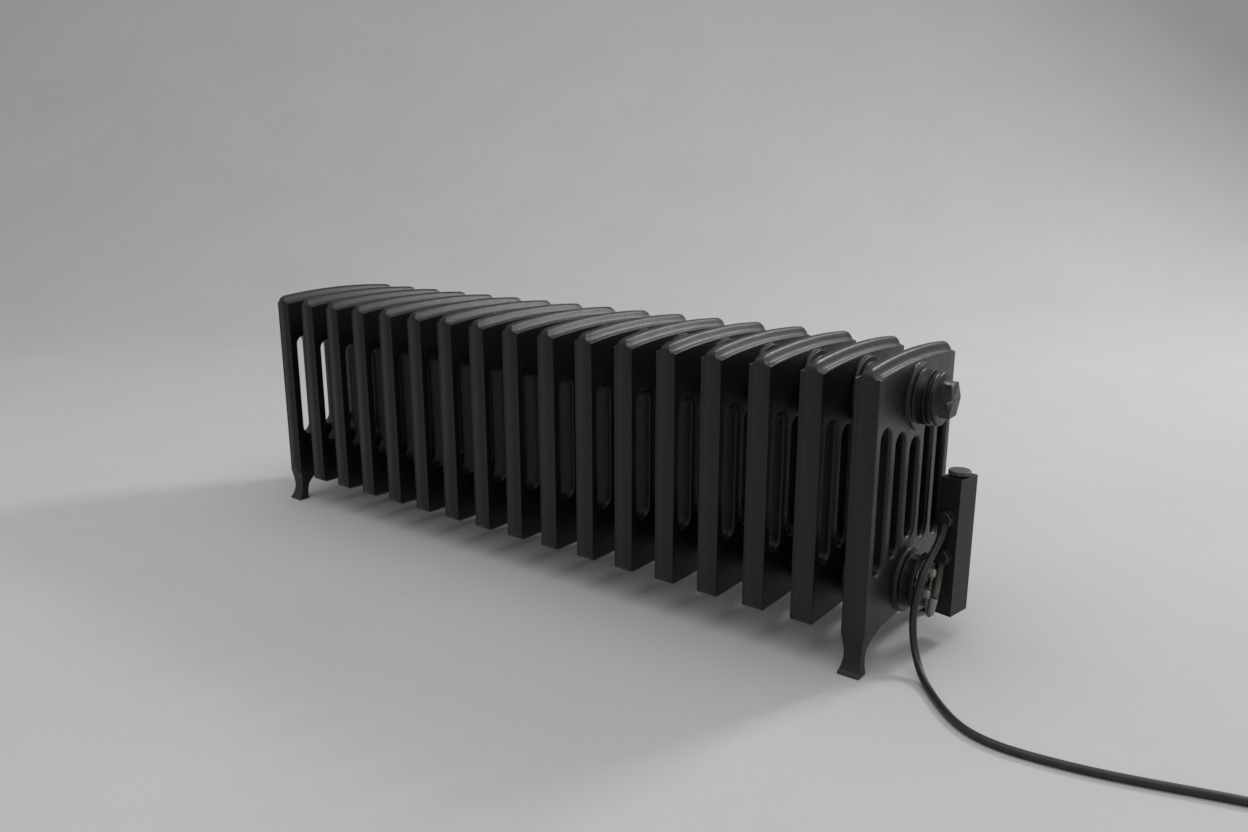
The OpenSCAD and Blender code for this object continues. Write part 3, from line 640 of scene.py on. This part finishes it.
class RADIATOR_OT_stage(bpy.types.Operator):
    """Puts a pale floor and backdrop, soft lamps and an even light round the radiator"""

    bl_idname = "radiator.stage"
    bl_label = "Studio"

    def execute(self, context):
        settings = context.scene.radiator_stage
        self.add_floor()
        self.add_lamp("key_lamp", (1.5, 3.1, 2.6), (0, 0, 0.1), (0.7, 0.7), settings.key_power)
        self.add_lamp("top_lamp", (0.1, -0.5, 3.4), (0, -0.3, 0), (4.4, 4.4), settings.top_power)
        world = bpy.data.worlds.new("studio")
        world.use_nodes = True
        background = world.node_tree.nodes["Background"]
        background.inputs["Color"].default_value = (1, 1, 1, 1)
        background.inputs["Strength"].default_value = settings.ambient
        context.scene.world = world
        context.scene.view_settings.view_transform = "Standard"
        return {"FINISHED"}

    def add_floor(self):
        """A floor that curves up into a backdrop, turned to face the camera."""
        shape = bmesh.new()
        bmesh.ops.create_grid(shape, x_segments=1, y_segments=1, size=6)
        bmesh.ops.translate(shape, verts=shape.verts, vec=(0, -4.2, 0))
        back = [edge for edge in shape.edges if all(v.co.y > 1 for v in edge.verts)]
        bend = bmesh.ops.spin(shape, geom=back, cent=(0, 1.8, 2.6), axis=(1, 0, 0),
                              angle=math.radians(90), steps=40)
        rise = [item for item in bend["geom_last"] if isinstance(item, bmesh.types.BMEdge)]
        wall = bmesh.ops.extrude_edge_only(shape, edges=rise)
        bmesh.ops.translate(shape, vec=(0, 0, 4),
                            verts=[v for v in wall["geom"] if isinstance(v, bmesh.types.BMVert)])
        bmesh.ops.rotate(shape, verts=shape.verts, matrix=Matrix.Rotation(
            math.radians(37.28), 3, "Z"))
        mesh = bpy.data.meshes.new("studio_floor")
        shape.to_mesh(mesh)
        shape.free()
        mesh.shade_smooth()
        floor = add_object("studio_floor", mesh)
        mesh.materials.append(floor_paper("floor_paper"))

    def add_lamp(self, name, place, target, size, power):
        data = bpy.data.lights.new(name, "AREA")
        data.shape = "RECTANGLE"
        data.size, data.size_y = size
        data.energy = power
        lamp = add_object(name, data)
        lamp.location = place
        aim = Vector(target) - Vector(place)
        lamp.rotation_euler = aim.to_track_quat("-Z", "Y").to_euler()


class RADIATOR_PT_parts(bpy.types.Panel):
    """Lists the radiator's pieces and their settings"""

    bl_idname = "RADIATOR_PT_parts"
    bl_label = "Cast iron radiator"
    bl_space_type = "VIEW_3D"
    bl_region_type = "UI"
    bl_category = "Radiator"

    def draw(self, context):
        for operator in OPERATORS:
            self.layout.operator(operator.bl_idname)
        for group in (context.scene.radiator_paint, context.scene.radiator_cord,
                      context.scene.radiator_stage):
            column = self.layout.column()
            for name in group.bl_rna.properties.keys():
                if name not in ("rna_type", "name"):
                    column.prop(group, name)


OPERATORS = (
    RADIATOR_OT_camera,
    RADIATOR_OT_plug,
    RADIATOR_OT_cord,
    RADIATOR_OT_sections,
    RADIATOR_OT_hub_fittings,
    RADIATOR_OT_element,
    RADIATOR_OT_control_box,
    RADIATOR_OT_outlets,
    RADIATOR_OT_element_lead,
    RADIATOR_OT_stage,
)
CLASSES = (PaintSettings, CordSettings, StageSettings, *OPERATORS, RADIATOR_PT_parts)


def register():
    for item in CLASSES:
        bpy.utils.register_class(item)
    bpy.types.Scene.radiator_paint = bpy.props.PointerProperty(type=PaintSettings)
    bpy.types.Scene.radiator_cord = bpy.props.PointerProperty(type=CordSettings)
    bpy.types.Scene.radiator_stage = bpy.props.PointerProperty(type=StageSettings)


def unregister():
    del bpy.types.Scene.radiator_stage
    del bpy.types.Scene.radiator_cord
    del bpy.types.Scene.radiator_paint
    for item in reversed(CLASSES):
        bpy.utils.unregister_class(item)


def main():
    register()
    for operator in OPERATORS:
        group, action = operator.bl_idname.split(".")
        getattr(getattr(bpy.ops, group), action)()


if __name__ == "__main__":
    main()
